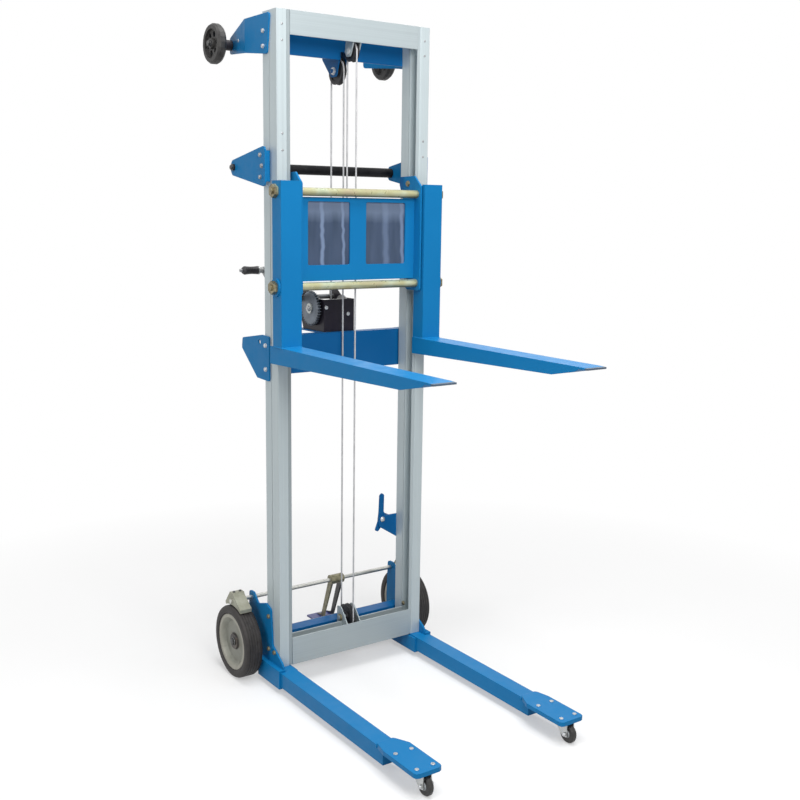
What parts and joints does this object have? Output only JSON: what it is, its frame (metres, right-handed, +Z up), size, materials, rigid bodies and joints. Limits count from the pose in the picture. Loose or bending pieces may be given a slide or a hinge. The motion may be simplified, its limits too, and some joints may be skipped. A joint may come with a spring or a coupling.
{
  "type": "server lift trolley",
  "caption": "Hand-winched lift trolley with a two-stage aluminium mast, blue forks and legs, casters, rear wheels and a foot brake.",
  "frame": {"origin": "centre of the bounding box's bottom face, on the floor", "axes": "+Z up, -Y along the forks and legs to the front, +X to the right seen from the front"},
  "size_m": [0.61, 1.0016, 1.75],
  "materials": {
    "blue_paint": "gloss enamel",
    "aluminium": "satin anodised",
    "black_rubber": "matte",
    "black_plastic": "matte",
    "yellow_zinc": "yellow zinc plating",
    "steel": "zinc plated",
    "black_paint": "satin",
    "smoked_sheet": "gloss, smoked"
  },
  "bodies": {
    "base": {"fixed_column_left": "aluminium", "fixed_column_right": "aluminium", "head_guide_left": "black_plastic", "head_guide_right": "black_plastic", "rear_top_crossmember": "blue_paint", "load_wheel_bracket_left": "blue_paint", "load_wheel_bracket_right": "blue_paint", "handle_bracket_left": "blue_paint", "handle_bracket_right": "blue_paint", "handle_bar": "black_rubber", "winch_crossmember": "blue_paint", "winch_frame": "black_paint", "base_frame": "blue_paint", "leg_left": "blue_paint", "leg_right": "blue_paint", "rear_axle": "steel", "latch_bracket": "blue_paint", "winch_rope": "steel", "mast_lift_rope": "steel"},
    "inner_mast": {"moving_column_left": "aluminium", "moving_column_right": "aluminium", "foot_glide_left": "black_plastic", "foot_glide_right": "black_plastic", "top_crossbeam": "aluminium", "lower_crossbeam": "aluminium", "mast_rise_rope": "steel", "carriage_rope": "steel"},
    "carriage": {"carriage_panel": "blue_paint", "window_left": "smoked_sheet", "window_right": "smoked_sheet", "carriage_side_left": "blue_paint", "carriage_side_right": "blue_paint", "upper_bar": "yellow_zinc", "lower_bar": "yellow_zinc", "fork_left": "blue_paint", "fork_right": "blue_paint"},
    "outer_pulley": {"outer_pulley": "black_plastic"},
    "lower_pulley": {"lower_pulley": "black_plastic"},
    "upper_pulley": {"upper_pulley": "black_plastic"},
    "rear_wheel_left": {"tyre_left": "black_rubber", "rim_left": "steel"},
    "load_wheel_left": {"load_wheel_left": "black_plastic"},
    "caster_left": {"caster_yoke_left": "steel"},
    "caster_wheel_left": {"caster_wheel_left": "black_rubber"},
    "roller_upper_left": {"roller_upper_left": "black_plastic"},
    "roller_lower_left": {"roller_lower_left": "black_plastic"},
    "rear_wheel_right": {"tyre_right": "black_rubber", "rim_right": "steel"},
    "load_wheel_right": {"load_wheel_right": "black_plastic"},
    "caster_right": {"caster_yoke_right": "steel"},
    "caster_wheel_right": {"caster_wheel_right": "black_rubber"},
    "roller_upper_right": {"roller_upper_right": "black_plastic"},
    "roller_lower_right": {"roller_lower_right": "black_plastic"},
    "winch_drum": {"winch_drum": "steel"},
    "crank": {"crank": "steel"},
    "crank_grip": {"crank_grip": "black_rubber"},
    "brake": {"brake_rod": "steel", "brake_shoe_left": "steel", "brake_shoe_right": "steel"},
    "latch": {"latch_lever": "blue_paint"}
  },
  "joints": [
    {"name": "inner_mast_lift", "type": "slide", "parent": "base", "child": "inner_mast", "axis": [0, 0, 1], "range_m": [0, 1.2], "deforming": ["mast_lift_rope"]},
    {"name": "carriage_lift", "type": "slide", "parent": "inner_mast", "child": "carriage", "axis": [0, 0, 1], "range_m": [-0.81, 0.27], "deforming": ["carriage_rope"]},
    {"name": "outer_pulley_spin", "type": "hinge", "parent": "base", "child": "outer_pulley", "pos_m": [0.006, 0.28075, 1.63], "axis": [1, 0, 0], "continuous": true},
    {"name": "lower_pulley_spin", "type": "hinge", "parent": "inner_mast", "child": "lower_pulley", "pos_m": [0.006, 0.21875, 0.145], "axis": [1, 0, 0], "continuous": true},
    {"name": "upper_pulley_spin", "type": "hinge", "parent": "inner_mast", "child": "upper_pulley", "pos_m": [0.006, 0.20975, 1.672], "axis": [1, 0, 0], "continuous": true},
    {"name": "rear_wheel_left_spin", "type": "hinge", "parent": "base", "child": "rear_wheel_left", "pos_m": [-0.28, 0.32525, 0.1], "axis": [1, 0, 0], "continuous": true},
    {"name": "load_wheel_left_spin", "type": "hinge", "parent": "base", "child": "load_wheel_left", "pos_m": [-0.265, 0.44975, 1.693], "axis": [1, 0, 0], "continuous": true},
    {"name": "caster_left_swivel", "type": "hinge", "parent": "base", "child": "caster_left", "pos_m": [-0.216, -0.42975, 0.06], "axis": [0, 0, 1], "continuous": true},
    {"name": "caster_wheel_left_spin", "type": "hinge", "parent": "caster_left", "child": "caster_wheel_left", "pos_m": [-0.216, -0.46175, 0.024], "axis": [1, 0, 0], "continuous": true},
    {"name": "roller_upper_left_spin", "type": "hinge", "parent": "carriage", "child": "roller_upper_left", "pos_m": [-0.212, 0.19825, 1.345], "axis": [1, 0, 0], "continuous": true},
    {"name": "roller_lower_left_spin", "type": "hinge", "parent": "carriage", "child": "roller_lower_left", "pos_m": [-0.212, 0.19825, 1.085], "axis": [1, 0, 0], "continuous": true},
    {"name": "rear_wheel_right_spin", "type": "hinge", "parent": "base", "child": "rear_wheel_right", "pos_m": [0.28, 0.32525, 0.1], "axis": [1, 0, 0], "continuous": true},
    {"name": "load_wheel_right_spin", "type": "hinge", "parent": "base", "child": "load_wheel_right", "pos_m": [0.265, 0.44975, 1.693], "axis": [1, 0, 0], "continuous": true},
    {"name": "caster_right_swivel", "type": "hinge", "parent": "base", "child": "caster_right", "pos_m": [0.216, -0.42975, 0.06], "axis": [0, 0, 1], "continuous": true},
    {"name": "caster_wheel_right_spin", "type": "hinge", "parent": "caster_right", "child": "caster_wheel_right", "pos_m": [0.216, -0.46175, 0.024], "axis": [1, 0, 0], "continuous": true},
    {"name": "roller_upper_right_spin", "type": "hinge", "parent": "carriage", "child": "roller_upper_right", "pos_m": [0.212, 0.19825, 1.345], "axis": [1, 0, 0], "continuous": true},
    {"name": "roller_lower_right_spin", "type": "hinge", "parent": "carriage", "child": "roller_lower_right", "pos_m": [0.212, 0.19825, 1.085], "axis": [1, 0, 0], "continuous": true},
    {"name": "drum_spin", "type": "hinge", "parent": "base", "child": "winch_drum", "pos_m": [0, 0.33225, 1.006], "axis": [1, 0, 0], "continuous": true},
    {"name": "crank_turn", "type": "hinge", "parent": "base", "child": "crank", "pos_m": [0, 0.38387, 1.032], "axis": [1, 0, 0], "continuous": true},
    {"name": "grip_spin", "type": "hinge", "parent": "crank", "child": "crank_grip", "pos_m": [-0.149, 0.47482, 1.104], "axis": [1, 0, 0], "continuous": true},
    {"name": "brake_press", "type": "hinge", "parent": "base", "child": "brake", "pos_m": [0, 0.33225, 0.214], "axis": [1, 0, 0], "range_deg": [-5, 0]},
    {"name": "latch_turn", "type": "hinge", "parent": "base", "child": "latch", "pos_m": [0.144, 0.25025, 0.397], "axis": [0, 1, 0], "range_deg": [-45, 0]}
  ],
  "couplings": [
    {"joint": "crank_turn", "follows": "drum_spin", "ratio": -3.6}
  ]
}
